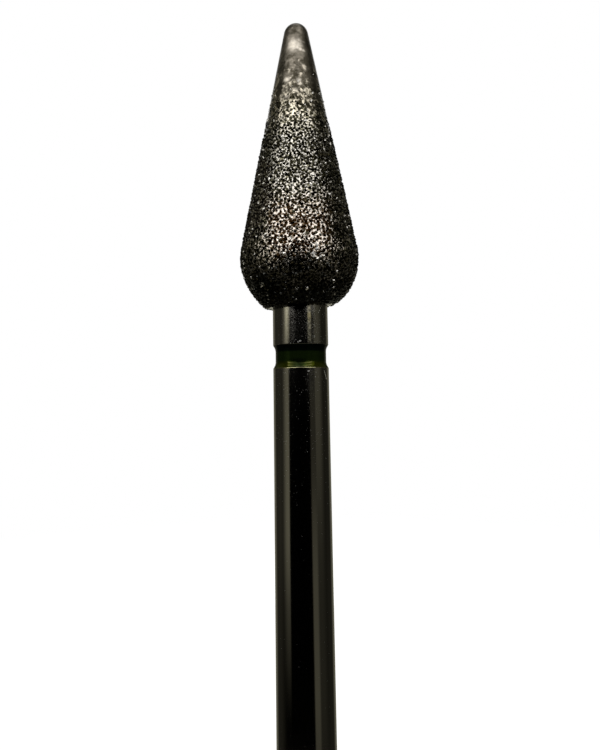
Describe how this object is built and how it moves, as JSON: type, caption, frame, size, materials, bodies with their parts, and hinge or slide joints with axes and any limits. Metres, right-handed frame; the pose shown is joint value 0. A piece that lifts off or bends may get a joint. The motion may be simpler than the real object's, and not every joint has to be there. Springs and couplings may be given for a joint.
{
  "type": "dental bur",
  "caption": "Rotary dental bur with a straight round steel shank, a green colour ring in a groove, and a long cone-shaped head with a rounded base, plated with dark diamond grit.",
  "frame": {"origin": "centre of the flat end of the shank", "axes": "+Z along the axis from the shank's end towards the tip of the head; the bur is round about it, so +X and +Y are free"},
  "size_m": [0.005, 0.005, 0.0445],
  "materials": {
    "steel": "satin",
    "diamond_grit": "matte",
    "green_enamel": "gloss"
  },
  "bodies": {
    "root": {"bur_blank": "steel", "diamond_layer": "diamond_grit", "colour_ring": "green_enamel"}
  },
  "joints": []
}
